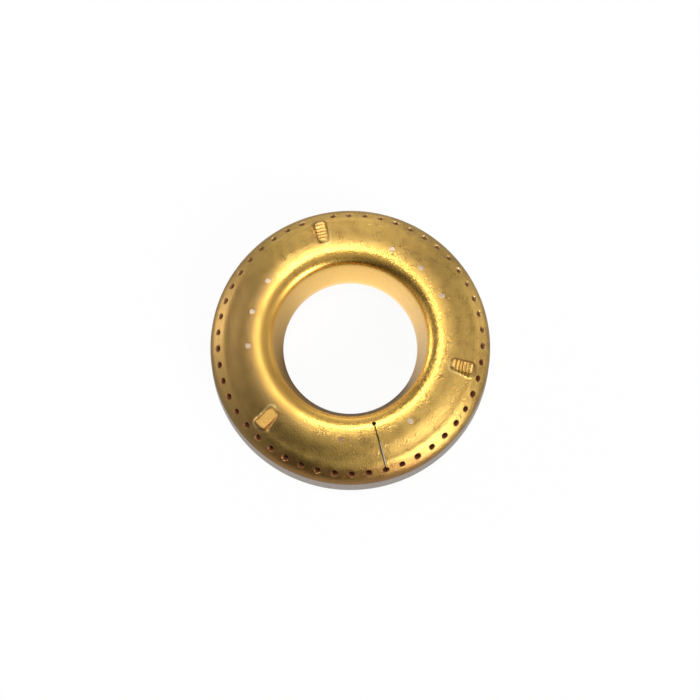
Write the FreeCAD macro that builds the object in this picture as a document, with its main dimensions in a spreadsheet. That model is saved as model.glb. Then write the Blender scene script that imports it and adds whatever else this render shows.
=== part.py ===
import FreeCAD, Part
import math
import os

import Sketcher

# Brass gas burner cap: one hot forging, a domed ring with a gas channel underneath.
# Millimetres. The origin is the centre of the rim that it stands on and +Z is up.
# The first lug lies towards +Y and the flame slit opposite it, towards -Y.

document = FreeCAD.newDocument("burner_cap")

# Driving dimensions: name, value, meaning.
SIZES = [
    ("base_radius", 50.0, "outer radius of the standing rim"),
    ("wall_lean", 1.9, "how far the turned outer wall leans in from the rim to the forged shoulder"),
    ("wall_height", 10.2, "height of the turned outer wall"),
    ("opening_radius", 24.0, "radius of the central opening"),
    ("land_height", 3.0, "turned straight foot of the central opening"),
    ("throat_draft", 8.0, "draft of the opening above its foot, degrees"),
    ("crest_height", 18.6, "height of the dome's crest above the rim"),
    ("crest_place", 31.0, "distance from the axis to the dome's crest"),
    ("crest_round", 8.0, "round of the crest"),
    ("funnel_slope", 30.0, "slope of the funnel inside the crest, degrees"),
    ("funnel_round", 2.2, "round between the funnel and the opening's wall"),
    ("cone_slope", 14.0, "fall of the dome from its crest outwards, degrees"),
    ("shoulder_radius", 6.5, "round from the dome to the turned wall"),
    ("port_band", 2.6, "width of the narrow flat round the shoulder, square to the ports"),
    ("port_tilt", 37.0, "lean of that flat and of each port outwards, degrees"),
    ("port_diameter", 2.0, "drilled flame port"),
    ("port_positions", 50, "equal places round the shoulder, one left undrilled at the first lug"),
    ("port_approach", 2.0, "drill path outside the shoulder"),
    ("port_reach", 5.5, "drill path below the shoulder, ending in the gas channel"),
    ("roof_thickness", 3.0, "wall of the dome over the gas channel"),
    ("skirt_thickness", 4.6, "outer wall beside the gas channel, at the rim"),
    ("collar_thickness", 3.4, "inner wall between the opening and the gas channel"),
    ("channel_round", 2.0, "rounds along the channel's corners"),
    ("register_height", 2.5, "height of the turned register at the channel's mouth"),
    ("register_depth", 0.8, "depth of that register into each wall"),
    ("rim_chamfer", 0.4, "broken edges of the two rims"),
    ("lug_count", 3, "raised lugs on the dome"),
    ("lug_radius", 38.0, "distance from the axis to the middle of a lug"),
    ("lug_length", 7.0, "lug's top, along the radius"),
    ("lug_width", 3.2, "lug's top, across"),
    ("lug_rise", 0.2, "height of a lug's level top above the crest"),
    ("lug_root", 6.0, "depth of a lug's body below its top"),
    ("lug_draft", 25.0, "draft of a lug's sides, degrees"),
    ("lug_corner_round", 0.6, "corners of a lug's top outline"),
    ("lug_foot_round", 0.7, "round where a lug's sides run into the dome"),
    ("lug_edge_round", 0.2, "worn edge of a lug's top"),
    ("tooth_count", 5, "grip teeth across a lug's top"),
    ("tooth_pitch", 1.15, "distance between two teeth"),
    ("tooth_depth", 0.4, "depth of a tooth"),
    ("tooth_margin", 0.5, "plain top left at the lug's outer end"),
    ("toothed_lugs", 2, "lugs with teeth, the first one and the next clockwise"),
    ("dimple_diameter", 1.8, "flat punched dimple"),
    ("dimple_radius", 34.4, "distance from the axis to a dimple"),
    ("dimple_drop", 0.38, "depth of a dimple's floor below the dome at its middle"),
    ("dimple_pitch", 20.0, "angle between neighbouring dimples, degrees"),
    ("slit_width", 0.45, "sawn flame slit"),
    ("pilot_diameter", 1.4, "round hole at the slit's inner end"),
    ("pilot_radius", 29.6, "distance from the axis to that hole"),
]

sizes = document.addObject("Spreadsheet::Sheet", "Sizes")
for row, (alias, value, meaning) in enumerate(SIZES, start=1):
    sizes.set(f"A{row}", meaning)
    sizes.set(f"B{row}", str(value))
    sizes.setAlias(f"B{row}", alias)
document.recompute()


def size(alias):
    return float(sizes.get(alias))


body = document.addObject("PartDesign::Body", "burner_cap")
body.Label = "burner_cap"


def origin_feature(role):
    return next(f for f in body.Origin.OriginFeatures if f.Role == role)


def new_sketch(name, plane):
    sketch = body.newObject("Sketcher::SketchObject", name)
    sketch.AttachmentSupport = [(origin_feature(plane), "")]
    sketch.MapMode = "FlatFace"
    return sketch


def point(x, y):
    return FreeCAD.Vector(x, y, 0)


def polar(centre, radius, degrees):
    turn = math.radians(degrees)
    return centre + point(radius * math.cos(turn), radius * math.sin(turn))


def line(sketch, start, end):
    return sketch.addGeometry(Part.LineSegment(start, end))


def arc(sketch, centre, radius, start, end):
    circle = Part.Circle(centre, FreeCAD.Vector(0, 0, 1), radius)
    return sketch.addGeometry(Part.ArcOfCircle(circle, math.radians(start), math.radians(end)))


START, END, CENTRE = range(1, 4)
AXIS_X, AXIS_Y = range(-1, -3, -1)
ORIGIN = (-1, 1)


def drive(sketch, name, expression, kind, *arguments):
    """Adds a named dimension to a sketch and binds it to the sheet."""
    index = sketch.addConstraint(Sketcher.Constraint(kind, *arguments))
    sketch.renameConstraint(index, name)
    sketch.setExpression(f"Constraints.{name}", expression)


def measure(sketch, name, kind, *arguments):
    """Adds a named dimension that follows the sketch, for others to read."""
    index = sketch.addConstraint(Sketcher.Constraint(kind, *arguments))
    sketch.setDriving(index, False)
    sketch.renameConstraint(index, name)


def join(sketch, kind, *arguments):
    sketch.addConstraint(Sketcher.Constraint(kind, *arguments))


def closed_lines(sketch, *corners):
    """Draws straight lines from corner to corner and back to the first."""
    lines = [line(sketch, start, end) for start, end in zip(corners, corners[1:] + corners[:1])]
    for before, after in zip(lines, lines[1:] + lines[:1]):
        join(sketch, "Coincident", before, END, after, START)
    return lines


def round_corner(sketch, name, before, after, expression, radius):
    """Rounds the corner between two lines and binds its radius to the sheet."""
    middles = [(sketch.Geometry[g].StartPoint + sketch.Geometry[g].EndPoint) * 0.5 for g in (before, after)]
    sketch.fillet(before, after, *middles, radius, True, False)
    drive(sketch, name, expression, "Radius", sketch.GeometryCount - 1, radius)


def polar_pattern(name, original, occurrences, angle):
    """Repeats a feature about the cap's axis."""
    pattern = body.newObject("PartDesign::PolarPattern", name)
    pattern.Originals = [original]
    pattern.Axis = (origin_feature("Z_Axis"), [""])
    pattern.setExpression("Occurrences", occurrences)
    pattern.setExpression("Angle", angle)
    body.Tip = pattern
    document.recompute()
    return pattern


def edges_at_height(feature, height):
    """Names the edges that lie wholly at one height."""
    box = [edge.BoundBox for edge in feature.Shape.Edges]
    return [f"Edge{i}" for i, b in enumerate(box, start=1)
            if abs(b.ZMin - height) < 1e-4 and abs(b.ZMax - height) < 1e-4]


def turned(face):
    """Tells whether a face is a cone, torus or cylinder about the cap's axis."""
    centre = getattr(face.Surface, "Center", None)
    return centre is not None and math.hypot(centre.x, centre.y) < 1e-4


def foot_edges(feature, height):
    """Names the edges above one height where other faces rise from the turned dome."""
    names = []
    for i, edge in enumerate(feature.Shape.Edges, start=1):
        sides = [turned(face) for face in feature.Shape.ancestorsOfType(edge, Part.Face)]
        if any(sides) and not all(sides) and edge.BoundBox.ZMin > height:
            names.append(f"Edge{i}")
    return names


def ring_edges(feature, radius, height):
    """Names the round edges about the axis at one radius and height."""
    return [f"Edge{i}" for i, edge in enumerate(feature.Shape.Edges, start=1)
            if isinstance(edge.Curve, Part.Circle) and abs(edge.Curve.Radius - radius) < 1e-4
            and abs(edge.Curve.Center.z - height) < 1e-4]


def crossing(first, first_angle, second, second_angle):
    """Finds where two lines meet, each given by a point and an angle."""
    along = polar(point(0, 0), 1, first_angle)
    across = polar(point(0, 0), 1, second_angle + 90)
    return first + along * ((second - first).dot(across) / along.dot(across))


# Forged dome: half section of the solid ring, revolved about the axis.
dome_section = new_sketch("dome_section", "XZ_Plane")
slope = size("cone_slope")
draft = size("throat_draft")
funnel = size("funnel_slope")
tilt = size("port_tilt")
shoulder = size("shoulder_radius")
downhill = polar(point(0, 0), 1, -slope)
dome_normal = polar(point(0, 0), 1, 90 - slope)
band_run = polar(point(0, 0), size("port_band"), -tilt)
band_normal = polar(point(0, 0), 1, 90 - tilt)

foot = point(size("opening_radius"), 0)
land_top = point(size("opening_radius"), size("land_height"))
heel = point(size("base_radius"), 0)
wall_top = point(size("base_radius") - size("wall_lean"), size("wall_height"))
crest_centre = point(size("crest_place"), size("crest_height") - size("crest_round"))
crest_outer = crest_centre + dome_normal * size("crest_round")
crest_inner = polar(crest_centre, size("crest_round"), 90 + funnel)
funnel_corner = crossing(land_top, 90 - draft, crest_inner, funnel)
corner_run = size("funnel_round") * math.tan(math.radians(90 - draft - funnel) / 2)
funnel_foot = polar(funnel_corner, corner_run, funnel)
throat_top = polar(funnel_corner, -corner_run, 90 - draft)
foot_centre = polar(throat_top, size("funnel_round"), -draft)
edge = wall_top - band_run - crest_outer
edge_fall = -edge.dot(dome_normal)
shoulder_run = math.sqrt(shoulder ** 2 - (shoulder - edge_fall) ** 2)
shoulder_top = crest_outer + downhill * (edge.dot(downhill) - shoulder_run)
upper_centre = shoulder_top - dome_normal * shoulder
lower_centre = upper_centre + band_run
band_top = upper_centre + band_normal * shoulder
edge_angle = math.degrees(math.atan2(wall_top.y - lower_centre.y, wall_top.x - lower_centre.x))

rim_line = line(dome_section, foot, heel)
wall_line = line(dome_section, heel, wall_top)
lower_arc = arc(dome_section, lower_centre, shoulder, edge_angle, 90 - tilt)
band_line = line(dome_section, band_top, band_top + band_run)
upper_arc = arc(dome_section, upper_centre, shoulder, 90 - tilt, 90 - slope)
cone_line = line(dome_section, crest_outer, shoulder_top)
crest_arc = arc(dome_section, crest_centre, size("crest_round"), 90 - slope, 90 + funnel)
funnel_line = line(dome_section, funnel_foot, crest_inner)
foot_arc = arc(dome_section, foot_centre, size("funnel_round"), 90 + funnel, 180 - draft)
throat_line = line(dome_section, land_top, throat_top)
land_line = line(dome_section, foot, land_top)
port_mouth = band_top + band_run * 0.5
port_point = dome_section.addGeometry(Part.Point(port_mouth), True)
dimple_mouth = crest_outer + downhill * ((size("dimple_radius") - crest_outer.x) / downhill.x)
dimple_point = dome_section.addGeometry(Part.Point(dimple_mouth), True)

join(dome_section, "Coincident", rim_line, END, wall_line, START)
join(dome_section, "Coincident", wall_line, END, lower_arc, START)
join(dome_section, "Tangent", lower_arc, END, band_line, END)
join(dome_section, "Tangent", band_line, START, upper_arc, START)
join(dome_section, "Tangent", upper_arc, END, cone_line, END)
join(dome_section, "Tangent", cone_line, START, crest_arc, START)
join(dome_section, "Tangent", crest_arc, END, funnel_line, END)
join(dome_section, "Tangent", funnel_line, START, foot_arc, START)
join(dome_section, "Tangent", foot_arc, END, throat_line, END)
join(dome_section, "Coincident", throat_line, START, land_line, END)
join(dome_section, "Coincident", land_line, START, rim_line, START)
join(dome_section, "PointOnObject", rim_line, START, AXIS_X)
join(dome_section, "PointOnObject", rim_line, END, AXIS_X)
join(dome_section, "Vertical", land_line)
join(dome_section, "Equal", upper_arc, lower_arc)
join(dome_section, "Symmetric", band_line, START, band_line, END, port_point, START)
join(dome_section, "PointOnObject", dimple_point, START, cone_line)
drive(dome_section, "opening", "Sizes.opening_radius", "DistanceX", *ORIGIN, rim_line, START, foot.x)
drive(dome_section, "land", "Sizes.land_height", "DistanceY", *ORIGIN, land_line, END, land_top.y)
drive(dome_section, "base", "Sizes.base_radius", "DistanceX", *ORIGIN, rim_line, END, heel.x)
drive(dome_section, "wall_lean", "Sizes.wall_lean", "DistanceX", wall_line, END, wall_line, START,
      size("wall_lean"))
drive(dome_section, "wall_height", "Sizes.wall_height", "DistanceY", *ORIGIN, wall_line, END, wall_top.y)
drive(dome_section, "shoulder", "Sizes.shoulder_radius", "Radius", upper_arc, shoulder)
drive(dome_section, "band", "Sizes.port_band", "Distance", band_line, size("port_band"))
drive(dome_section, "tilt", "-Sizes.port_tilt", "Angle", band_line, math.radians(-tilt))
drive(dome_section, "slope", "-Sizes.cone_slope", "Angle", cone_line, math.radians(-slope))
drive(dome_section, "crest", "Sizes.crest_round", "Radius", crest_arc, size("crest_round"))
drive(dome_section, "crest_place", "Sizes.crest_place",
      "DistanceX", *ORIGIN, crest_arc, CENTRE, crest_centre.x)
drive(dome_section, "crest_height", "Sizes.crest_height - Sizes.crest_round",
      "DistanceY", *ORIGIN, crest_arc, CENTRE, crest_centre.y)
drive(dome_section, "funnel", "Sizes.funnel_slope", "Angle", funnel_line, math.radians(funnel))
drive(dome_section, "funnel_round", "Sizes.funnel_round", "Radius", foot_arc, size("funnel_round"))
drive(dome_section, "draft", "90 - Sizes.throat_draft", "Angle", throat_line, math.radians(90 - draft))
drive(dome_section, "dimple_place", "Sizes.dimple_radius",
      "DistanceX", *ORIGIN, dimple_point, START, dimple_mouth.x)
measure(dome_section, "dimple_height", "DistanceY", *ORIGIN, dimple_point, START, dimple_mouth.y)
measure(dome_section, "port_radius", "DistanceX", *ORIGIN, port_point, START, port_mouth.x)
measure(dome_section, "port_height", "DistanceY", *ORIGIN, port_point, START, port_mouth.y)

dome = body.newObject("PartDesign::Revolution", "dome")
dome.Profile = dome_section
dome.ReferenceAxis = (dome_section, ["V_Axis"])
dome.Angle = 360
document.recompute()

# Lugs: level-topped drafted blocks that grow out of the falling dome.
lug_outline = new_sketch("lug_outline", "XY_Plane")
lug_outline.setExpression("AttachmentOffset.Base.z", "Sizes.crest_height + Sizes.lug_rise")
half_width = size("lug_width") / 2
lug_start = size("lug_radius") - size("lug_length") / 2
lug_end = lug_start + size("lug_length")
inner_end, far_side, outer_end, near_side = closed_lines(
    lug_outline,
    point(-half_width, lug_start),
    point(half_width, lug_start),
    point(half_width, lug_end),
    point(-half_width, lug_end),
)
for level in (inner_end, outer_end):
    join(lug_outline, "Horizontal", level)
for upright in (far_side, near_side):
    join(lug_outline, "Vertical", upright)
drive(lug_outline, "right", "Sizes.lug_width / 2", "DistanceX", *ORIGIN, far_side, START, half_width)
drive(lug_outline, "left", "Sizes.lug_width / 2", "DistanceX", near_side, START, *ORIGIN, half_width)
drive(lug_outline, "inner_end", "Sizes.lug_radius - Sizes.lug_length / 2",
      "DistanceY", *ORIGIN, inner_end, START, lug_start)
drive(lug_outline, "outer_end", "Sizes.lug_radius + Sizes.lug_length / 2",
      "DistanceY", *ORIGIN, outer_end, START, lug_end)

for corner, (before, after) in {
    "inner_right": (inner_end, far_side),
    "outer_right": (far_side, outer_end),
    "outer_left": (outer_end, near_side),
    "inner_left": (near_side, inner_end),
}.items():
    round_corner(lug_outline, corner, before, after, "Sizes.lug_corner_round", size("lug_corner_round"))

lug = body.newObject("PartDesign::Pad", "lug")
lug.Profile = lug_outline
lug.Reversed = True
lug.setExpression("Length", "Sizes.lug_root")
lug.setExpression("TaperAngle", "Sizes.lug_draft")
document.recompute()
lugs = polar_pattern("lugs", lug, "Sizes.lug_count", "360")

# Lug rounds: the worn edge along each top outline, then the foot that runs into the dome.
lug_top = size("crest_height") + size("lug_rise")
lug_edges = body.newObject("PartDesign::Fillet", "lug_edges")
lug_edges.Base = (lugs, edges_at_height(lugs, lug_top))
lug_edges.setExpression("Radius", "Sizes.lug_edge_round")
document.recompute()

lug_feet = body.newObject("PartDesign::Fillet", "lug_feet")
lug_feet.Base = (lug_edges, foot_edges(lug_edges, size("wall_height")))
lug_feet.setExpression("Radius", "Sizes.lug_foot_round")
document.recompute()

# Grip teeth: ratchet notches cut across the tops of the toothed lugs.
tooth_section = new_sketch("tooth_section", "YZ_Plane")
tooth_heel = lug_end - size("tooth_margin")
tooth_floor = lug_top - size("tooth_depth")
steep, run_out, above, over = closed_lines(
    tooth_section,
    point(tooth_heel, lug_top + size("tooth_depth")),
    point(tooth_heel, tooth_floor),
    point(tooth_heel - size("tooth_pitch"), lug_top),
    point(tooth_heel - size("tooth_pitch"), lug_top + size("tooth_depth")),
)
join(tooth_section, "Vertical", steep)
join(tooth_section, "Vertical", above)
join(tooth_section, "Horizontal", over)
drive(tooth_section, "heel", "Sizes.lug_radius + Sizes.lug_length / 2 - Sizes.tooth_margin",
      "DistanceX", *ORIGIN, steep, END, tooth_heel)
drive(tooth_section, "floor", "Sizes.crest_height + Sizes.lug_rise - Sizes.tooth_depth",
      "DistanceY", *ORIGIN, steep, END, tooth_floor)
drive(tooth_section, "pitch", "Sizes.tooth_pitch", "DistanceX", run_out, END, run_out, START,
      size("tooth_pitch"))
drive(tooth_section, "depth", "Sizes.tooth_depth", "DistanceY", run_out, START, run_out, END,
      size("tooth_depth"))
drive(tooth_section, "clearance", "Sizes.tooth_depth", "DistanceY", above, START, above, END,
      size("tooth_depth"))

tooth = body.newObject("PartDesign::Pocket", "tooth")
tooth.Profile = tooth_section
tooth.Midplane = True
tooth.setExpression("Length", "2 * Sizes.lug_width")
document.recompute()

teeth = body.newObject("PartDesign::MultiTransform", "teeth")
teeth_in_row = body.newObject("PartDesign::LinearPattern", "teeth_in_row")
teeth_in_row.Direction = (origin_feature("Y_Axis"), [""])
teeth_in_row.Reversed = True
teeth_in_row.setExpression("Occurrences", "Sizes.tooth_count")
teeth_in_row.setExpression("Length", "Sizes.tooth_pitch * (Sizes.tooth_count - 1)")
teeth_on_lugs = body.newObject("PartDesign::PolarPattern", "teeth_on_lugs")
teeth_on_lugs.Axis = (origin_feature("Z_Axis"), [""])
teeth_on_lugs.Reversed = True
teeth_on_lugs.setExpression("Occurrences", "Sizes.toothed_lugs")
teeth_on_lugs.setExpression("Angle", "360 / Sizes.lug_count * (Sizes.toothed_lugs - 1)")
teeth.Originals = [tooth]
teeth.Transformations = [teeth_in_row, teeth_on_lugs]
body.Tip = teeth
document.recompute()

# Dimples: flat punch marks on one circle of the dome, in two groups beside the first lug
# and one on each side of the slit.
dimple_plan = new_sketch("dimple_plan", "XY_Plane")
dimple_plan.setExpression(
    "AttachmentOffset.Base.z", "dome_section.Constraints.dimple_height - 1 mm * Sizes.dimple_drop"
)
for place in (2, 3, 4, 8):
    for side in (-1, 1):
        bearing = 90 + side * place * size("dimple_pitch")
        centre = polar(point(0, 0), size("dimple_radius"), bearing)
        up = FreeCAD.Vector(0, 0, 1)
        dimple = dimple_plan.addGeometry(Part.Circle(centre, up, size("dimple_diameter") / 2))
        name = f"place_{place}_{'left' if side > 0 else 'right'}"
        drive(dimple_plan, name + "_round", "Sizes.dimple_diameter",
              "Diameter", dimple, size("dimple_diameter"))
        turn = f"90 deg + {side * place} deg * Sizes.dimple_pitch"
        drive(dimple_plan, name + "_x", f"Sizes.dimple_radius * cos({turn})",
              "DistanceX", *ORIGIN, dimple, CENTRE, centre.x)
        drive(dimple_plan, name + "_y", f"Sizes.dimple_radius * sin({turn})",
              "DistanceY", *ORIGIN, dimple, CENTRE, centre.y)

dimples = body.newObject("PartDesign::Pocket", "dimples")
dimples.Profile = dimple_plan
dimples.Reversed = True
dimples.Type = "ThroughAll"
document.recompute()

# Gas channel: the hollow under the dome, open downwards, with a register turned at its mouth.
# Its roof runs parallel to the dome and, behind the ports, to the port band.
channel_section = new_sketch("channel_section", "XZ_Plane")
channel_inner = size("opening_radius") + size("collar_thickness")
channel_outer = size("base_radius") - size("skirt_thickness")
mouth_inner = channel_inner - size("register_depth")
mouth_outer = channel_outer + size("register_depth")
shelf = size("register_height")
inner_offset = size("crest_round") - size("roof_thickness")
ceiling_place = crest_centre + dome_normal * inner_offset
behind_funnel = polar(crest_centre, inner_offset, 90 + funnel)
behind_port = port_mouth - band_normal * size("roof_thickness")
collar_top = crossing(point(channel_inner, 0), 90, behind_funnel, funnel)
roof_inner = crossing(behind_funnel, funnel, ceiling_place, -slope)
roof_outer = crossing(ceiling_place, -slope, behind_port, -tilt)
skirt_top = crossing(point(channel_outer, 0), 90, behind_port, -tilt)

(mouth, outer_register, outer_shelf, skirt_face, port_roof, ceiling, funnel_roof, collar_face,
 inner_shelf, inner_register) = closed_lines(
    channel_section,
    point(mouth_inner, 0),
    point(mouth_outer, 0),
    point(mouth_outer, shelf),
    point(channel_outer, shelf),
    skirt_top,
    roof_outer,
    roof_inner,
    collar_top,
    point(channel_inner, shelf),
    point(mouth_inner, shelf),
)
crest_mark = channel_section.addGeometry(Part.Point(crest_centre), True)
port_mark = channel_section.addGeometry(Part.Point(port_mouth), True)
join(channel_section, "PointOnObject", mouth, START, AXIS_X)
join(channel_section, "PointOnObject", mouth, END, AXIS_X)
for upright in (outer_register, skirt_face, collar_face, inner_register):
    join(channel_section, "Vertical", upright)
for level in (outer_shelf, inner_shelf):
    join(channel_section, "Horizontal", level)
drive(channel_section, "skirt", "Sizes.base_radius - Sizes.skirt_thickness",
      "DistanceX", *ORIGIN, skirt_face, START, channel_outer)
drive(channel_section, "collar", "Sizes.opening_radius + Sizes.collar_thickness",
      "DistanceX", *ORIGIN, collar_face, END, channel_inner)
drive(channel_section, "outer_register", "Sizes.register_depth",
      "DistanceX", outer_shelf, END, outer_shelf, START, size("register_depth"))
drive(channel_section, "inner_register", "Sizes.register_depth",
      "DistanceX", inner_shelf, END, inner_shelf, START, size("register_depth"))
drive(channel_section, "outer_shelf", "Sizes.register_height",
      "DistanceY", *ORIGIN, outer_shelf, END, shelf)
drive(channel_section, "inner_shelf", "Sizes.register_height",
      "DistanceY", *ORIGIN, inner_shelf, START, shelf)
drive(channel_section, "crest_x", "Sizes.crest_place",
      "DistanceX", *ORIGIN, crest_mark, START, crest_centre.x)
drive(channel_section, "crest_y", "Sizes.crest_height - Sizes.crest_round",
      "DistanceY", *ORIGIN, crest_mark, START, crest_centre.y)
drive(channel_section, "port_x", "dome_section.Constraints.port_radius",
      "DistanceX", *ORIGIN, port_mark, START, port_mouth.x)
drive(channel_section, "port_y", "dome_section.Constraints.port_height",
      "DistanceY", *ORIGIN, port_mark, START, port_mouth.y)
drive(channel_section, "tilt", "180 - Sizes.port_tilt", "Angle", port_roof, math.radians(180 - tilt))
drive(channel_section, "slope", "180 - Sizes.cone_slope", "Angle", ceiling, math.radians(180 - slope))
drive(channel_section, "lean", "Sizes.funnel_slope - 180", "Angle", funnel_roof,
      math.radians(funnel - 180))
drive(channel_section, "roof_at_port", "Sizes.roof_thickness",
      "Distance", port_mark, START, port_roof, size("roof_thickness"))
drive(channel_section, "roof_at_dome", "Sizes.crest_round - Sizes.roof_thickness",
      "Distance", crest_mark, START, ceiling, inner_offset)
drive(channel_section, "roof_at_funnel", "Sizes.crest_round - Sizes.roof_thickness",
      "Distance", crest_mark, START, funnel_roof, inner_offset)

for corner, (before, after) in {
    "skirt_corner": (skirt_face, port_roof),
    "roof_corner": (port_roof, ceiling),
    "collar_corner": (funnel_roof, collar_face),
}.items():
    round_corner(channel_section, corner, before, after, "Sizes.channel_round", size("channel_round"))

channel = body.newObject("PartDesign::Groove", "channel")
channel.Profile = channel_section
channel.ReferenceAxis = (channel_section, ["V_Axis"])
channel.Angle = 360
document.recompute()

# Flame ports: one hole drilled square to the port band into the channel, repeated at every
# place but the one behind the first lug.
port_section = new_sketch("port_section", "YZ_Plane")
port_section.AttachmentOffset = FreeCAD.Placement(
    FreeCAD.Vector(), FreeCAD.Rotation(FreeCAD.Vector(0, 1, 0), 360 / size("port_positions"))
)
port_section.setExpression("AttachmentOffset.Rotation.Angle", "360 / Sizes.port_positions")
drill_top = port_mouth + band_normal * size("port_approach")
drill_end = port_mouth - band_normal * size("port_reach")
drill_side = polar(point(0, 0), size("port_diameter") / 2, -tilt)
drill_axis, drill_tip, drill_wall, drill_back = closed_lines(
    port_section, drill_top, drill_end, drill_end + drill_side, drill_top + drill_side
)
entry = port_section.addGeometry(Part.Point(port_mouth), True)
join(port_section, "PointOnObject", entry, START, drill_axis)
join(port_section, "Perpendicular", drill_axis, drill_tip)
join(port_section, "Perpendicular", drill_tip, drill_wall)
join(port_section, "Perpendicular", drill_wall, drill_back)
drive(port_section, "circle", "dome_section.Constraints.port_radius",
      "DistanceX", *ORIGIN, entry, START, port_mouth.x)
drive(port_section, "height", "dome_section.Constraints.port_height",
      "DistanceY", *ORIGIN, entry, START, port_mouth.y)
drive(port_section, "tilt", "-90 - Sizes.port_tilt", "Angle", drill_axis, math.radians(-90 - tilt))
drive(port_section, "bore", "Sizes.port_diameter / 2", "Distance", drill_tip, size("port_diameter") / 2)
drive(port_section, "approach", "Sizes.port_approach",
      "Distance", entry, START, drill_axis, START, size("port_approach"))
drive(port_section, "reach", "Sizes.port_reach",
      "Distance", entry, START, drill_axis, END, size("port_reach"))

port = body.newObject("PartDesign::Groove", "port")
port.Profile = port_section
port.ReferenceAxis = (port_section, ["Edge1"])
port.Angle = 360
document.recompute()
ports = polar_pattern("ports", port, "Sizes.port_positions - 1",
                      "360 / Sizes.port_positions * (Sizes.port_positions - 2)")

# Flame slit: a saw cut from a small round hole inside the crest out to the port opposite
# the first lug.
slit_plan = new_sketch("slit_plan", "XY_Plane")
half_slit = size("slit_width") / 2
slit_head, slit_right, slit_foot, slit_left = closed_lines(
    slit_plan,
    point(-half_slit, -port_mouth.x),
    point(half_slit, -port_mouth.x),
    point(half_slit, -size("pilot_radius")),
    point(-half_slit, -size("pilot_radius")),
)
join(slit_plan, "Symmetric", slit_head, START, slit_head, END, AXIS_Y)
join(slit_plan, "Vertical", slit_right)
join(slit_plan, "Horizontal", slit_foot)
join(slit_plan, "Vertical", slit_left)
drive(slit_plan, "width", "Sizes.slit_width", "DistanceX", slit_head, START, slit_head, END,
      size("slit_width"))
drive(slit_plan, "outer_end", "dome_section.Constraints.port_radius",
      "DistanceY", slit_head, START, *ORIGIN, port_mouth.x)
drive(slit_plan, "inner_end", "Sizes.pilot_radius",
      "DistanceY", slit_foot, START, *ORIGIN, size("pilot_radius"))

slit = body.newObject("PartDesign::Pocket", "slit")
slit.Profile = slit_plan
slit.Reversed = True
slit.Type = "ThroughAll"
document.recompute()

pilot_plan = new_sketch("pilot_plan", "XY_Plane")
pilot_circle = Part.Circle(point(0, -size("pilot_radius")), FreeCAD.Vector(0, 0, 1),
                           size("pilot_diameter") / 2)
pilot_edge = pilot_plan.addGeometry(pilot_circle)
join(pilot_plan, "PointOnObject", pilot_edge, CENTRE, AXIS_Y)
drive(pilot_plan, "bore", "Sizes.pilot_diameter", "Diameter", pilot_edge, size("pilot_diameter"))
drive(pilot_plan, "place", "Sizes.pilot_radius",
      "DistanceY", pilot_edge, CENTRE, *ORIGIN, size("pilot_radius"))

pilot = body.newObject("PartDesign::Pocket", "pilot")
pilot.Profile = pilot_plan
pilot.Reversed = True
pilot.Type = "ThroughAll"
document.recompute()

# Rims: both standing edges are broken with a small chamfer.
rims = body.newObject("PartDesign::Chamfer", "rims")
rims.Base = (pilot, ring_edges(pilot, foot.x, 0) + ring_edges(pilot, heel.x, 0))
rims.setExpression("Size", "Sizes.rim_chamfer")
body.Tip = rims
document.recompute()

# Every feature must have been made, and the finished cap must be one valid solid.
for item in document.Objects:
    if {"Invalid", "Error"} & set(item.State):
        raise RuntimeError(f"{item.Name} failed: {item.State}")
previous = None
steps = [dome, lug, lugs, lug_edges, lug_feet, tooth, teeth, dimples, channel, port, ports, slit,
         pilot, rims]
for feature in steps:
    if previous and math.isclose(feature.Shape.Volume, previous.Shape.Volume, rel_tol=1e-9):
        raise RuntimeError(f"{feature.Name} changes nothing")
    previous = feature
if body.Shape.isNull() or not body.Shape.isValid() or len(body.Shape.Solids) != 1:
    raise RuntimeError("the cap is not one valid solid")

os.makedirs("parts", exist_ok=True)
body.Shape.exportStep(f"parts/{body.Label}.step")
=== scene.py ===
import cmath
import math

import bpy
import numpy as np
from mathutils import Matrix, Vector


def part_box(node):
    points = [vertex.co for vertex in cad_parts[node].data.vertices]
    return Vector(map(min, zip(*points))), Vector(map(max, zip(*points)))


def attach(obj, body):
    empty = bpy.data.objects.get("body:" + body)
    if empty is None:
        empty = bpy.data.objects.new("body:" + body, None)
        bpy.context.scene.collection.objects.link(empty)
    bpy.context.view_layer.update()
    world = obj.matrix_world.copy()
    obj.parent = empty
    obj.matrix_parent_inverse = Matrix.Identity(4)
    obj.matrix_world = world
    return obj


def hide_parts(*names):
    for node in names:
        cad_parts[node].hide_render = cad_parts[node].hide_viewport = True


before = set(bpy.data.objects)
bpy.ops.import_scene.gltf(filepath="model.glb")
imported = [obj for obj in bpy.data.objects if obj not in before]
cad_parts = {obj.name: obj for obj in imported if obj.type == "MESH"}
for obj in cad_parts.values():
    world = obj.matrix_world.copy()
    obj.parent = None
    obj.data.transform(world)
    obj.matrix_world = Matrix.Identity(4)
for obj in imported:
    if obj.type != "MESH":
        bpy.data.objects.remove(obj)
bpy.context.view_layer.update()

# Forging: the cap is one hot brass forging, a domed ring with a gas channel underneath.
# The outer wall, the foot of the opening and both rims are turned afterwards.
# A section point is a complex number, its radius and its height.
mm = 0.001
low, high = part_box("burner_cap")
base_radius = (high.x - low.x) / 2
lug_top = high.z
lug_rise = 0.2 * mm
crest_height = lug_top - lug_rise
opening_radius = 24.0 * mm
land_height = 3.0 * mm
throat_draft = math.radians(8)
crest_place = 31.0 * mm
crest_round = 8.0 * mm
funnel_slope = math.radians(30)
easing = 1.5 * mm
crown = 0.35 * mm
cone_slope = math.radians(14)
shoulder_radius = 6.5 * mm
port_band = 2.6 * mm
port_tilt = math.radians(37)
wall_lean = 1.9 * mm
wall_height = 10.2 * mm
roof_thickness = 3.0 * mm
skirt_thickness = 4.6 * mm
collar_thickness = 3.4 * mm
channel_round = 2.0 * mm
register_height = 2.5 * mm
register_depth = 0.8 * mm
rim_chamfer = 0.4 * mm
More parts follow.
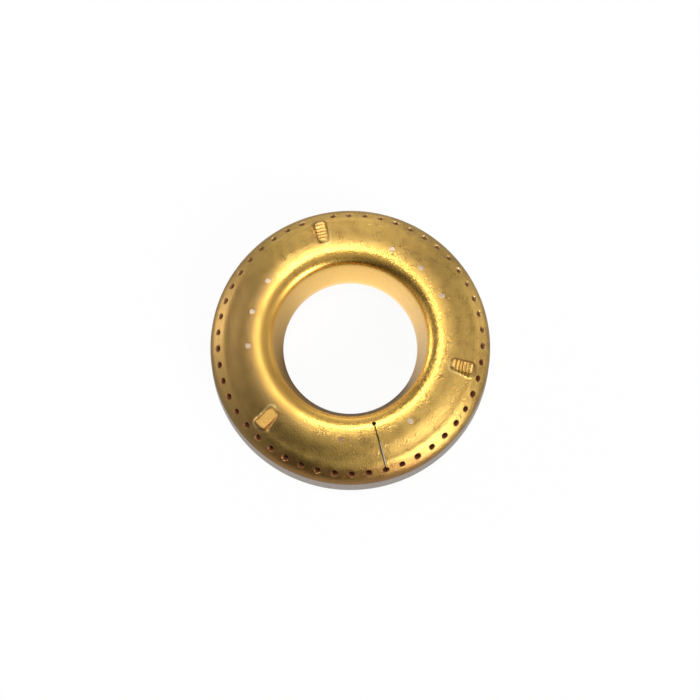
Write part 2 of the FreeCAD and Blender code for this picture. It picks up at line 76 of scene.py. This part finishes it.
tooth_pitch = 1.15 * mm
fine = tooth_pitch / 6
medium = 0.45 * mm
coarse = 1.2 * mm
quarter = math.pi / 2


def dot(one, other):
    return (one * other.conjugate()).real


def crossing(first, first_angle, second, second_angle):
    """Where two lines of the section meet, each given by a point and an angle."""
    along = cmath.rect(1, first_angle)
    across = cmath.rect(1, second_angle + quarter)
    return first + along * dot(second - first, across) / dot(along, across)


def run(start, end, spacing):
    """Rows along a straight stretch of the section, without its last point."""
    steps = max(1, round(abs(end - start) / spacing))
    return list(np.linspace(start, end, steps, endpoint=False))


def turn(centre, radius, first, last, spacing):
    """Rows along a round stretch of the section, without its last point."""
    steps = max(1, round(abs(last - first) * radius / spacing))
    angles = np.linspace(first, last, steps, endpoint=False)
    return [centre + cmath.rect(radius, angle) for angle in angles]


def corner(before, point, after, radius, spacing):
    """Rows round a corner of the section, with both ends of the round."""
    towards = (before - point) / abs(before - point)
    away = (after - point) / abs(after - point)
    half = abs(cmath.phase(away / towards)) / 2
    centre = point + (towards + away) / abs(towards + away) * radius / math.sin(half)
    first = point + towards * radius / math.tan(half) - centre
    last = point + away * radius / math.tan(half) - centre
    sweep = cmath.phase(last / first)
    steps = max(2, round(abs(sweep) * radius / spacing))
    return [centre + first * cmath.rect(1, sweep * step / steps) for step in range(steps + 1)]


downhill = cmath.rect(1, -cone_slope)
dome_normal = cmath.rect(1, quarter - cone_slope)
band_run = cmath.rect(port_band, -port_tilt)
band_normal = cmath.rect(1, quarter - port_tilt)
crest_centre = complex(crest_place, crest_height - crest_round)
crest_outer = crest_centre + crest_round * dome_normal
crest_inner = crest_centre + cmath.rect(crest_round, quarter + funnel_slope)
land_top = complex(opening_radius, land_height)
lip = crossing(land_top, quarter - throat_draft, crest_inner, funnel_slope)
wall_top = complex(base_radius - wall_lean, wall_height)
edge = wall_top - band_run - crest_outer
edge_fall = -dot(edge, dome_normal)
shoulder_run = math.sqrt(shoulder_radius**2 - (shoulder_radius - edge_fall) ** 2)
shoulder_top = crest_outer + downhill * (dot(edge, downhill) - shoulder_run)
upper_centre = shoulder_top - dome_normal * shoulder_radius
lower_centre = upper_centre + band_run
band_top = upper_centre + band_normal * shoulder_radius
port_mouth = band_top + band_run / 2

# The dome's line as the die cuts it, then as it is after use: eased at the lip and the crest, and
# slightly crowned between the crest and the shoulder.
sharp = np.array(
    run(land_top, lip, fine)
    + run(lip, crest_inner, fine)
    + turn(crest_centre, crest_round, quarter + funnel_slope, quarter - cone_slope, fine)
    + run(crest_outer, shoulder_top, fine)
    + turn(upper_centre, shoulder_radius, quarter - cone_slope, quarter - port_tilt, fine)
    + [band_top]
)
path = np.concatenate([[0], np.cumsum(np.abs(np.diff(sharp)))])
nearness = np.exp(-(((path[:, None] - path) / easing) ** 2) / 2)
soft = nearness @ sharp / nearness.sum(axis=1)
from_foot = np.clip(path / (3 * easing), 0, 1)
from_shoulder = np.clip((shoulder_top.real - sharp.real) / (2 * easing), 0, 1)
swell = np.clip((sharp.real - crest_place) / (shoulder_top.real - crest_place), 0, 1)
worn = sharp + (soft - sharp) * from_foot * from_shoulder + 1j * crown * np.sin(math.pi * swell) ** 2
dome_line = np.append(worn, band_top + band_run)


def dome_height(radius):
    """Height of the throat, the crest, the cone, the shoulder and the port band at one radius."""
    return float(np.interp(radius, dome_line.real, dome_line.imag))


def dome_lean(radius):
    """How far the dome's face leans outwards at one radius."""
    return math.atan((dome_height(radius - fine) - dome_height(radius + fine)) / (2 * fine))


channel_inner = opening_radius + collar_thickness
channel_outer = base_radius - skirt_thickness
inner_offset = crest_round - roof_thickness
ceiling = crest_centre + dome_normal * inner_offset
behind_funnel = crest_centre + cmath.rect(inner_offset, quarter + funnel_slope)
behind_port = port_mouth - band_normal * roof_thickness
collar_top = crossing(complex(channel_inner, 0), quarter, behind_funnel, funnel_slope)
roof_inner = crossing(behind_funnel, funnel_slope, ceiling, -cone_slope)
roof_outer = crossing(ceiling, -cone_slope, behind_port, -port_tilt)
skirt_top = crossing(complex(channel_outer, 0), quarter, behind_port, -port_tilt)
skirt_foot = complex(channel_outer, register_height)
collar_foot = complex(channel_inner, register_height)

land_foot = complex(opening_radius, rim_chamfer)
under_rim = run(complex(opening_radius + rim_chamfer, 0), land_foot, medium)
lip_reach = 1.0 * mm
throat_thinning = 6
lip_start = int(np.argmax(worn.real > lip.real - lip_reach))
throat_rows = under_rim + run(land_foot, land_top, medium) + list(worn[:lip_start:throat_thinning])
dome_rows = list(worn[lip_start:-1])
shoulder_rows = run(band_top, band_top + band_run, medium) + turn(
    lower_centre, shoulder_radius, quarter - port_tilt, cmath.phase(wall_top - lower_centre), medium
)
heel = complex(base_radius, rim_chamfer)
wall_rows = run(wall_top, heel, coarse) + run(heel, complex(base_radius - rim_chamfer, 0), medium)
mouth_outer = complex(channel_outer + register_depth, 0)
mouth_inner = complex(channel_inner - register_depth, 0)
channel_rows = (
    run(complex(base_radius - rim_chamfer, 0), mouth_outer, coarse)
    + run(mouth_outer, mouth_outer + 1j * register_height, coarse)
    + run(mouth_outer + 1j * register_height, skirt_foot, coarse)
    + run(skirt_foot, skirt_top - 2j * channel_round, coarse)
    + corner(skirt_foot, skirt_top, roof_outer, channel_round, medium)
    + corner(skirt_top, roof_outer, roof_inner, channel_round, medium)
    + run(roof_outer + (roof_inner - roof_outer) / 4, roof_inner, coarse)
    + [roof_inner]
    + corner(roof_inner, collar_top, collar_foot, channel_round, medium)
    + run(collar_top - 2j * channel_round, collar_foot, coarse)
    + run(collar_foot, mouth_inner + 1j * register_height, coarse)
    + run(mouth_inner + 1j * register_height, mouth_inner, coarse)
    + run(mouth_inner, under_rim[0], coarse)
)
section = np.array(throat_rows + dome_rows + shoulder_rows + wall_rows + channel_rows)
relief_rows = len(throat_rows) + len(dome_rows)

# Lugs: three drafted blocks that the die raises on the dome, level on top, ramped at the inner
# end and round at the foot. Two have grip teeth across the top; wear has softened every edge.
lug_bearings = [quarter + step * math.tau / 3 for step in (-1, 0, 1)]
lug_radius = 38.0 * mm
lug_length = 7.0 * mm
lug_width = 3.2 * mm
lug_draft = math.radians(25)
lug_ramp = math.radians(40)
lug_ramp_run = 0.5 * mm
lug_corner_round = 0.15 * mm
lug_plan_round = 0.8 * mm
lug_foot_round = 0.45 * mm
tooth_count = 5
tooth_depth = 0.4 * mm
tooth_margin = 0.5 * mm
groove_half = 0.26
strip_half = 4.2 * mm
strip = strip_half * np.array(
    [-1, -0.86, -0.74, -0.65, -0.58, -0.52, -0.46, -0.42, -0.38, -0.34, -0.28, -0.19, -0.09]
)
strip = np.concatenate([strip, [0], -strip[::-1]])
columns_between = 110


def bearings(radius):
    """Column bearings on one row: parallel to a lug's sides beside it, evenly spread between."""
    margin = math.asin(strip_half / radius)
    parts = []
    for bearing in lug_bearings:
        parts.append(bearing + np.arcsin(strip / radius))
        first, last = bearing + margin, bearing + math.tau / 3 - margin
        parts.append(np.linspace(first, last, columns_between, endpoint=False)[1:])
    return np.concatenate(parts)


def smooth_highest(one, other, width):
    share = np.clip(0.5 + 0.5 * (one - other) / width, 0, 1)
    return other + (one - other) * share + width * share * (1 - share)


def lug_surface(along, across, toothed):
    """Height of a lug's top, teeth and flanks at a place along and across it."""
    outer = along - (lug_radius + lug_length / 2)
    inner = (lug_radius - lug_length / 2 + lug_ramp_run) - along
    side = np.abs(across) - lug_width / 2
    ramp = inner * math.tan(lug_ramp) * math.tan(lug_draft)
    end = np.maximum(outer, ramp)
    beyond = np.hypot(np.maximum(side + lug_plan_round, 0), np.maximum(end + lug_plan_round, 0))
    beyond = np.maximum(beyond - lug_plan_round, 0)
    fall = (np.hypot(beyond, lug_corner_round) - lug_corner_round) / math.tan(lug_draft)
    place = (lug_radius + lug_length / 2 - tooth_margin - along) / tooth_pitch
    groove = np.clip(1 - np.abs(place % 1 - 0.5) / groove_half, 0, 1)
    notch = np.where((place > 0) & (place < tooth_count), groove, 0)
    return lug_top - fall - np.where(toothed, notch * tooth_depth, 0)


radius = np.abs(section.real)[:, None]
bearing = np.array([bearings(r) for r in section.real])
height = np.repeat(section.imag[:, None], bearing.shape[1], axis=1)
lug_number = np.round((bearing - quarter) / (math.tau / 3))
offset = bearing - quarter - lug_number * math.tau / 3
toothed = lug_number < 0.5
lugs = lug_surface(radius * np.cos(offset), radius * np.sin(offset), toothed)
raised = np.minimum(smooth_highest(lugs, height, lug_foot_round), lug_top)
on_dome = (np.arange(len(section)) < relief_rows)[:, None] & (radius > crest_place)
height = np.where(on_dome, raised, height)

points = np.stack([radius * np.cos(bearing), radius * np.sin(bearing), height], axis=-1)
row_count, column_count = bearing.shape
index = np.arange(row_count * column_count).reshape(row_count, column_count)
next_row = np.roll(index, -1, axis=0)
ring = [index, next_row, np.roll(next_row, -1, axis=1), np.roll(index, -1, axis=1)]
quads = np.stack(ring, axis=-1)


def mesh_object(name, vertices, faces):
    mesh = bpy.data.meshes.new(name)
    mesh.from_pydata(vertices, [], faces)
    mesh.validate()
    piece = bpy.data.objects.new(name, mesh)
    bpy.context.scene.collection.objects.link(piece)
    return piece


cap = mesh_object(
    "burner_cap_brass", points.reshape(-1, 3).tolist(), quads.reshape(-1, 4).tolist()
)

# Flame ports, pilot, slit and punch marks: forty-nine drilled ports square to the shoulder, with
# worn mouths, a saw cut from a small pilot hole to the port opposite the first lug, eight flat
# punched dimples on the crest, and a few small nicks and pits from use.
port_places = 50
port_radius = 1.0 * mm
port_reach = 5.5 * mm
port_approach = 1.2 * mm
port_wear = 0.22 * mm
port_wear_spread = 0.5
port_wear_cycle = 2.4
port_drift = 0.06 * mm
port_drift_cycle = 5.1
mouth_round = 0.35
mouth_flare = 1.2
mouth_lift = 0.4
port_sides = 28
pilot_radius = 0.7 * mm
pilot_place = 29.6 * mm
slit_width = 0.3 * mm
slit_low = 7.0 * mm
slit_wear = 0.1 * mm
slit_lift = 0.3
slit_steps = 40
slit_worn_start = 35.5 * mm
slit_worn_end = 43.0 * mm
slit_worn_more = 2.6
dimple_radius = 0.9 * mm
dimple_place = 33.9 * mm
dimple_drop = 0.38 * mm
dimple_lean = 0.12 * mm
dimple_places = [math.radians(20 * place) for place in (2, 3, 4, 8, -2, -3, -4, -8)]
nick_place = (36.7 * mm, math.radians(-87.7))
pit_places = [(26.6 * mm, math.radians(2.2)), (26.35 * mm, math.radians(-3.1))]
pit_radius = 0.3 * mm
pit_depth = 0.12 * mm
pit_lift = 0.1 * mm
pit_floor = 0.3
nick_share = 0.8
above = 3.0 * mm


def lathe(profile, sides, place):
    """A closed body of round section: its profile's radii and heights, set in place by a matrix."""
    angles = [math.tau * side / sides for side in range(sides)]
    vertices = [
        place @ Vector((radius * math.cos(angle), radius * math.sin(angle), height))
        for radius, height in profile
        for angle in angles
    ]
    faces = [list(range(sides))[::-1], list(range(len(vertices) - sides, len(vertices)))]
    for ring in range(len(profile) - 1):
        first = ring * sides
        faces += [
            [first + one, first + other, first + sides + other, first + sides + one]
            for one, other in zip(range(sides), [*range(1, sides), 0])
        ]
    return vertices, faces


def standing(radius, bearing, height, lean=0.0):
    """A place on the cap whose own height axis leans outwards from the cap's axis."""
    return (
        Matrix.Rotation(bearing, 4, "Z")
        @ Matrix.Translation((radius, 0, height))
        @ Matrix.Rotation(lean, 4, "Y")
    )


def joined(bodies):
    vertices, faces = [], []
    for body_vertices, body_faces in bodies:
        faces += [[len(vertices) + corner for corner in face] for face in body_faces]
        vertices += body_vertices
    return vertices, faces


def cut(piece, name, bodies):
    """Takes the bodies away from a piece."""
    tool = mesh_object(name, *joined(bodies))
    modifier = piece.modifiers.new(name, "BOOLEAN")
    modifier.operation = "DIFFERENCE"
    modifier.solver = "EXACT"
    modifier.object = tool
    evaluated = piece.evaluated_get(bpy.context.evaluated_depsgraph_get())
    mesh = bpy.data.meshes.new_from_object(evaluated)
    piece.modifiers.remove(modifier)
    piece.data = mesh
    bpy.data.objects.remove(tool)


ports = []
for step in range(1, port_places):
    wear = port_wear * (1 + port_wear_spread * math.sin(port_wear_cycle * step))
    drift = port_drift * math.sin(port_drift_cycle * step)
    bearing = quarter + math.tau * step / port_places
    mouth = standing(port_mouth.real + drift, bearing, port_mouth.imag, port_tilt)
    profile = [
        (port_radius, -port_reach),
        (port_radius, -wear),
        (port_radius + wear * mouth_round, -wear * mouth_lift),
        (port_radius + wear * mouth_flare, wear * mouth_lift),
        (port_radius + wear * mouth_flare, port_approach),
    ]
    ports.append(lathe(profile, port_sides, mouth))

pilot = [(pilot_radius, slit_low), (pilot_radius, lug_top)]
dimple = [
    (dimple_radius, 0),
    (dimple_radius + dimple_lean, dimple_drop),
    (dimple_radius + dimple_lean, above),
]
dimple_floor = dome_height(dimple_place) - dimple_drop
dimples = [
    lathe(dimple, port_sides, standing(dimple_place, quarter + place, dimple_floor))
    for place in dimple_places
]
pit = [(pit_radius * pit_floor, -pit_depth), (pit_radius, pit_lift), (pit_radius, above)]
nick = lathe(
    [(size * nick_share, at) for size, at in pit],
    port_sides // 2,
    standing(*nick_place, dome_height(nick_place[0]), dome_lean(nick_place[0])),
)
pits = [
    lathe(pit, port_sides // 2, standing(place, bearing, dome_height(place), dome_lean(place)))
    for place, bearing in pit_places
]
pilot_drill = lathe(pilot, port_sides, standing(pilot_place, -quarter, 0))
cut(cap, "drill", ports + [pilot_drill] + dimples + pits + [nick])

slit_rows = np.linspace(port_mouth.real, pilot_place, slit_steps)
slit_section = []
for r in slit_rows:
    top = dome_height(r)
    half = slit_width / 2
    worn_more = np.clip((r - slit_worn_start) / mm, 0, 1) * np.clip((slit_worn_end - r) / mm, 0, 1)
    worn_side = slit_wear * (1 + slit_worn_more * worn_more)
    slit_section += [
        Vector((side, -r, z))
        for side, z in (
            (-half, slit_low),
            (half, slit_low),
            (half, top - slit_wear),
            (half + worn_side, top + slit_wear * slit_lift),
            (half + worn_side, lug_top + above),
            (-half - slit_wear, lug_top + above),
            (-half - slit_wear, top + slit_wear * slit_lift),
            (-half, top - slit_wear),
        )
    ]
corners = len(slit_section) // len(slit_rows)
last_row = len(slit_section) - corners
slit_faces = [list(range(corners)), list(range(last_row, last_row + corners))[::-1]]
for first in range(0, last_row, corners):
    for one, other in zip(range(corners), [*range(1, corners), 0]):
        slit_faces.append(
            [first + one, first + one + corners, first + other + corners, first + other]
        )
cut(cap, "saw", [(slit_section, slit_faces)])

sharp_edge = math.radians(38)
cap.data.shade_smooth()
cap.data.set_sharp_from_angle(angle=sharp_edge)

# Brass finish: the forged dome has a fine blasted grain that sparkles, mottled olive to gold with
# handling; the throat is smoother, with a warmer orange painted in for the reflections it catches,
# the turned wall is pale, and the drilled holes are dark. Painted shade and painted highlights are
# added in places, each marked below.
brass = bpy.data.materials.new("forged_brass")
brass.use_nodes = True
nodes = brass.node_tree.nodes
nodes.clear()


class Tone:
    """A socket of a node tree, whose sums and products add Math nodes."""

    def __init__(self, tree, socket=None):
        self.tree = tree
        self.socket = socket

    def add(self, kind, settings=None, inputs=None, output=0):
        """Adds a node, sets it up, fills or links its inputs and gives one of its outputs."""
        node = self.tree.nodes.new(kind)
        for name, value in (settings or {}).items():
            if name == "stops":
                ramp = node.color_ramp.elements
                while len(ramp) < len(value):
                    ramp.new(0.5)
                for stop, (position, colour) in zip(ramp, value):
                    stop.position = position
                    stop.color = colour
            else:
                setattr(node, name, value)
        for name, value in (inputs or {}).items():
            if isinstance(value, Tone):
                self.tree.links.new(value.socket, node.inputs[name])
            else:
                node.inputs[name].default_value = value
        return Tone(self.tree, node.outputs[output] if node.outputs else None)

    def math(self, operation, *others):
        return self.add("ShaderNodeMath", {"operation": operation}, dict(enumerate((self, *others))))

    def __add__(self, other):
        return self.math("ADD", other)

    __radd__ = __add__

    def __mul__(self, other):
        return self.math("MULTIPLY", other)

    __rmul__ = __mul__

    def __sub__(self, other):
        return self.math("SUBTRACT", other)

    def __rsub__(self, other):
        return self.add("ShaderNodeMath", {"operation": "SUBTRACT"}, {0: other, 1: self})

    def __abs__(self):
        return self.math("ABSOLUTE")

    def rise(self, start, end):
        """Goes smoothly from 0 at start to 1 at end."""
        settings = {"interpolation_type": "SMOOTHSTEP"}
        limits = {"Value": self, "From Min": start, "From Max": end}
        return self.add("ShaderNodeMapRange", settings, limits)

    def fall(self, start, end):
        """Goes smoothly from 1 at start to 0 at end."""
        return 1 - self.rise(start, end)

    def blend(self, share, other):
        """Mixes this colour with another."""
        settings = {"data_type": "RGBA"}
        return self.add("ShaderNodeMix", settings, {0: share, 6: self, 7: other}, 2)


start = Tone(brass.node_tree)
place = start.add("ShaderNodeTexCoord", output=3)
place_mm = start.add("ShaderNodeVectorMath", {"operation": "SCALE"}, {0: place, "Scale": 1 / mm})
x, y, z = (start.add("ShaderNodeSeparateXYZ", {}, {0: place_mm}, axis) for axis in range(3))
radius = (x * x + y * y).math("SQRT")


def speckle(size, detail=2.0, seed=0.0):
    """Noise whose grains are about the given size in millimetres."""
    shift = {0: place_mm, 1: (seed, seed, seed)}
    moved = start.add("ShaderNodeVectorMath", {"operation": "ADD"}, shift)
    noise = {"Vector": moved, "Scale": 1 / size, "Detail": detail}
    return start.add("ShaderNodeTexNoise", {}, noise)


grain = speckle(0.38, 1.5)
coarse_grain = speckle(0.9, 2.0, 5.0)
mottle = speckle(3.5, 3.0, 11.0)
stain = speckle(12.0, 2.0, 23.0)

# Where each finish and each patch of painted light and shade lies, from the cap's own sizes in
# millimetres. The back is the side that is farthest from the camera.
wall_start = (base_radius - wall_lean) / mm
wall_top_mm = wall_height / mm
wall_mask = radius.rise(wall_start - 0.5, wall_start + 0.1)
wall_mask = wall_mask * z.fall(wall_top_mm - 0.3, wall_top_mm + 0.3)
# The throat is smoother; its warmer orange is a painted reflection, standing in for the warm brass
# it mirrors across the opening.
throat_mask = radius.fall(crest_place / mm - 1.0, crest_place / mm + 3.0)
towards_back = x * 0.26 + y * 0.97
# Painted shade: the left side, as the camera sees it, is darkened towards olive to stand in for less
# light there; it is also rougher and less grainy.
leftward = (y * 0.09 - x) * radius.math("POWER", -1.0)
dull_shaded_left = leftward.rise(0.5, 0.85)
# Painted shade: the port band on the side nearest the camera is darkened towards brown, standing in
# for the dark surroundings it mirrors.
near_band_shade = radius.rise(42.0, 44.5) * towards_back.fall(-42.0, -32.0)

outside_port = radius - port_mouth.real / mm
above_port = z - port_mouth.imag / mm
band_across = outside_port * math.cos(port_tilt) - above_port * math.sin(port_tilt)
band_depth = 0 - outside_port * math.sin(port_tilt) - above_port * math.cos(port_tilt)
bore_reach = port_radius / mm
bore_mask = abs(band_across).fall(bore_reach + 0.25, bore_reach + 0.5) * band_depth.rise(0.0, 0.12)
# Painted highlight: in the ports on the far side, the outer wall just inside the mouth is painted
# pale cream.
bore_highlight = band_across.rise(0.0, 0.5) * band_depth.fall(0.5, 1.4) * towards_back.rise(-12.0, 12.0)

slit_half = slit_width / 2 / mm
slit_span = y.fall(-29.0, -28.8) * radius.fall(46.0, 46.2)
# Painted shade: the walls inside the saw cut are painted dark brown.
slit_mask = abs(x).fall(slit_half + 0.005, slit_half + 0.03) * slit_span
# Along part of the cut's length, the worn chamfer on its right-hand side is real wear, and it is
# also painted pale cream and made less metallic as a painted highlight.
slit_highlight = x.rise(slit_half, slit_half + 0.02) * x.fall(0.42, 0.5)
slit_highlight = slit_highlight * y.fall(-36.0, -35.5) * y.rise(-43.2, -42.8)

from_dimples = abs(radius - dimple_place / mm)
dimple_mask = from_dimples.fall(1.0, 1.1) * abs(z - dimple_floor / mm).fall(0.02, 0.05)
# Painted shade: the dimple floors on the side nearest the camera are darkened towards brown.
near_dimple_shade = dimple_mask * towards_back.fall(-32.0, -28.0)

lug_turn = y.math("ARCTAN2", x).math("WRAP", quarter + math.pi / 3, quarter - math.pi / 3) - quarter
lug_along = radius * lug_turn.math("COSINE")
lug_across = radius * lug_turn.math("SINE")
lug_side = abs(lug_across) - (lug_width / 2 - lug_plan_round) / mm
lug_end = abs(lug_along - lug_radius / mm) - (lug_length / 2 - lug_plan_round) / mm
lug_side, lug_end = lug_side.math("MAXIMUM", 0.0), lug_end.math("MAXIMUM", 0.0)
lug_edge = (lug_side * lug_side + lug_end * lug_end).math("SQRT") - lug_plan_round / mm
lug_mask = lug_edge.fall(0.0, 0.15)
plain_bearing = lug_bearings[2]
plain_lug = (x * math.cos(plain_bearing) + y * math.sin(plain_bearing)).rise(30.0, 33.0)
# Painted shade round each lug's foot, darkest along one flank and at the outer end, and a painted
# highlight: a yellow line on the dome beside the other flank.
lug_foot = lug_edge.rise(-0.1, 0.15) * lug_edge.fall(0.35, 0.95)
lug_shade = 0.12 + lug_across.rise(-0.2, 1.0) * 0.6 + lug_along.rise(41.0, 41.6) * 0.28
lug_glint = lug_edge.rise(0.5, 0.9) * lug_edge.fall(1.0, 1.7) * lug_across.fall(-0.8, 0.0)
# Painted shade: the tooth grooves and the other low spots on each lug's top are darkened towards
# brown.
lug_notch_shade = lug_mask * z.fall(lug_top / mm - 0.4, lug_top / mm - 0.05)

olive_gold = (0.57, 0.335, 0.095, 1)
plain_gold = (0.73, 0.455, 0.12, 1)
pale_gold = (0.82, 0.535, 0.14, 1)
left_shade_olive = (0.40, 0.245, 0.085, 1)
throat_reflection_orange = (0.84, 0.49, 0.10, 1)
band_shade_brown = (0.50, 0.22, 0.07, 1)
turned_grey = (0.86, 0.73, 0.62, 1)
lug_gold = (0.86, 0.56, 0.17, 1)
lug_orange = (0.62, 0.35, 0.085, 1)
foot_shade_brown = (0.26, 0.115, 0.04, 1)
glint_yellow = (0.95, 0.74, 0.30, 1)
notch_shade_brown = (0.40, 0.19, 0.06, 1)
dimple_grey = (0.60, 0.47, 0.36, 1)
dimple_shade_brown = (0.34, 0.19, 0.07, 1)
bore_red = (0.30, 0.105, 0.05, 1)
bore_highlight_cream = (1.0, 0.72, 0.36, 1)
slit_highlight_cream = (0.95, 0.86, 0.68, 1)
slit_shade = (0.20, 0.085, 0.035, 1)

gold_stops = [(0.30, olive_gold), (0.50, plain_gold), (0.72, pale_gold)]
colour = start.add("ShaderNodeValToRGB", {"stops": gold_stops}, {"Fac": mottle * 0.6 + stain * 0.4})
for share, other in (
    (dull_shaded_left * 0.8, left_shade_olive),
    (throat_mask * 0.7, throat_reflection_orange),
    (near_band_shade * 0.6, band_shade_brown),
    (wall_mask, turned_grey),
    (lug_mask * 0.7, lug_gold),
    (lug_mask * plain_lug * 0.8, lug_orange),
    (lug_foot * lug_shade, foot_shade_brown),
    (lug_glint * 0.55, glint_yellow),
    (lug_notch_shade * 0.5, notch_shade_brown),
    (dimple_mask * 0.85, dimple_grey),
    (near_dimple_shade * 0.9, dimple_shade_brown),
    (bore_mask * 0.95, bore_red),
    (bore_mask * bore_highlight, bore_highlight_cream),
    (slit_highlight, slit_highlight_cream),
    (slit_mask, slit_shade),
):
    colour = colour.blend(share, other)

metallic = 1 - bore_mask * (1 - bore_highlight * 0.8) * 0.85 - slit_highlight * 0.7
rough = 0.31 + dull_shaded_left * 0.14 + (mottle - 0.5) * 0.2 - throat_mask * 0.04 - wall_mask * 0.1
rough = rough + (grain - 0.5) * 0.2

skin = 1.3 + x.rise(0.0, 30.0) * 0.5 - throat_mask * 0.75 - dull_shaded_left * 0.5
skin = skin * (1 - wall_mask)
relief = grain * skin + coarse_grain * 0.5 * skin
lathe_lines = {"W": z, "Scale": 4.0, "Detail": 1.0}
turning = start.add("ShaderNodeTexNoise", {"noise_dimensions": "1D"}, lathe_lines)
relief = relief + turning * wall_mask * 0.6
grain_height = 0.12 * mm
grain_strength = 0.7
bumped = start.add("ShaderNodeBump", {}, {
    "Strength": grain_strength, "Distance": grain_height, "Height": relief,
})
surface = start.add("ShaderNodeBsdfPrincipled", {}, {
    "Base Color": colour, "Metallic": metallic, "Roughness": rough, "Normal": bumped,
})
start.add("ShaderNodeOutputMaterial", {}, {"Surface": surface})
cap.data.materials.clear()
cap.data.materials.append(brass)
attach(cap, "root")
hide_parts("burner_cap")

# Table: a plain white surface under the cap, white to the eye, which keeps a faint shadow of the
# cap.
# In the metal it glows instead: evenly and dimly outside the cap, and with a painted reflection in
# the opening.
floor_half = 3.0
floor_drop = 0.05 * mm
paper_white = (0.88, 0.88, 0.88, 1)
seen_strength = 1.02
seen_share = 0.92
glow_middle, glow_across, glow_along, glow_least = 0.55, 20, 33, 0.15
glow_outside = 0.4
floor_corners = [
    (floor_half * side, floor_half * end, -floor_drop)
    for side, end in ((-1, -1), (1, -1), (1, 1), (-1, 1))
]
floor = mesh_object("table", floor_corners, [[0, 1, 2, 3]])
white = bpy.data.materials.new("white_table")
white.use_nodes = True
white.node_tree.nodes.clear()
table = Tone(white.node_tree)
seen = table.add("ShaderNodeLightPath", output=0)
mirrored = table.add("ShaderNodeLightPath", output=3)
through = table.add("ShaderNodeLightPath", output=6)
paper = table.add("ShaderNodeBsdfDiffuse", {}, {"Color": paper_white})
glow = table.add("ShaderNodeEmission", {}, {"Color": (1, 1, 1, 1), "Strength": seen_strength})
spot = table.add("ShaderNodeTexCoord", output=3)
across, along = (table.add("ShaderNodeSeparateXYZ", {}, {0: spot}, axis) for axis in range(2))
out = (across * across + along * along).math("SQRT")
in_opening = out.fall(opening_radius + 0.5 * mm, opening_radius + 1.0 * mm)
beyond_rim = out.rise(base_radius - 1.5 * mm, base_radius - 1.0 * mm)
# Painted reflection: the glow that the throat wall mirrors from the floor in the opening grows
# brighter towards the back and the right, so the wall looks darker on the left.
opening_glow = glow_middle + across * glow_across + along * glow_along
opening_glow = opening_glow.math("MAXIMUM", glow_least) * in_opening
sheen = table.add("ShaderNodeEmission", {}, {"Color": opening_glow + beyond_rim * glow_outside})
open_floor = in_opening.math("MAXIMUM", beyond_rim)
white_floor = table.add("ShaderNodeMixShader", {}, {
    0: seen.math("MAXIMUM", through) * open_floor * seen_share, 1: paper, 2: glow,
})
bright_floor = table.add("ShaderNodeMixShader", {}, {
    0: mirrored * open_floor, 1: white_floor, 2: sheen,
})
table.add("ShaderNodeOutputMaterial", {}, {"Surface": bright_floor})
floor.data.materials.append(white)

# Studio: a dim room with soft bright panels overhead and round the horizon, and no lamps; to the
# camera it is white. The camera stands close above, as the photograph's did.
view_turn = math.radians(-15.0)
camera_tilt = math.radians(11.3)
camera_distance = 223 * mm
camera_lens = 31.9
camera_sensor = 36.0
aim = (-0.1 * mm, -0.8 * mm)
right = Vector((math.cos(view_turn), math.sin(view_turn), 0))
ahead = Vector((-math.sin(view_turn), math.cos(view_turn), 0))
up = Vector((0, 0, 1))

room = bpy.data.worlds.new("room")
bpy.context.scene.world = room
room.use_nodes = True
room.node_tree.nodes.clear()
air = Tone(room.node_tree)
towards = air.add("ShaderNodeTexCoord", output=0)


def direction(azimuth, zenith):
    """A direction in the room, its azimuth in degrees from the picture's right."""
    turn_angle, lean = math.radians(azimuth), math.radians(zenith)
    level = right * math.cos(turn_angle) + ahead * math.sin(turn_angle)
    return level * math.sin(lean) + up * math.cos(lean)


# Each panel has its azimuth and zenith in degrees, its tightness and its brightness: first those
# overhead, which the crest mirrors, then those halfway down, for the cone and the throat, then
# those near the horizon, for the port band and the wall, and last a wide faint one over all.
light = 0.0
for azimuth, zenith, tightness, brightness in (
    (277, 12, 25, 0.6),
    (62, 8, 80, 0.4),
    (107, 19, 400, 42.0),
    (82, 32, 60, 0.5),
    (15, 42, 40, 0.8),
    (325, 48, 70, 1.9),
    (313, 62, 150, 24.0),
    (320, 72, 14, 2.5),
    (268, 52, 40, 0.4),
    (168, 60, 25, 0.6),
    (20, 80, 40, 2.4),
    (160, 83, 60, 8.5),
    (90, 84, 6, 1.4),
    (190, 84, 9, 0.6),
    (48, 12, 6, 0.16),
):
    pair = {0: towards, 1: direction(azimuth, zenith)}
    facing = air.add("ShaderNodeVectorMath", {"operation": "DOT_PRODUCT"}, pair, 1)
    light = ((facing - 1) * tightness).math("EXPONENT") * brightness + light
panels = air.add("ShaderNodeBackground", {}, {"Color": light})
backdrop = air.add("ShaderNodeBackground", {}, {"Color": (1, 1, 1, 1)})
looked_at = air.add("ShaderNodeLightPath", output=0)
air.add("ShaderNodeOutputWorld", {}, {
    "Surface": air.add("ShaderNodeMixShader", {}, {0: looked_at, 1: panels, 2: backdrop}),
})

camera = bpy.data.objects.new("camera", bpy.data.cameras.new("camera"))
camera.data.lens = camera_lens
camera.data.sensor_width = camera_sensor
camera.data.clip_start = 0.01
back = -ahead * math.sin(camera_tilt) + up * math.cos(camera_tilt)
rows = (right, ahead * math.cos(camera_tilt) + up * math.sin(camera_tilt), back)
turned = Matrix(rows).transposed().to_4x4()
stand = right * aim[0] + ahead * aim[1] + back * camera_distance
camera.matrix_world = Matrix.Translation(stand) @ turned
bpy.context.scene.collection.objects.link(camera)
bpy.context.scene.camera = camera
bpy.context.scene.view_settings.view_transform = "Standard"

bpy.context.view_layer.update()
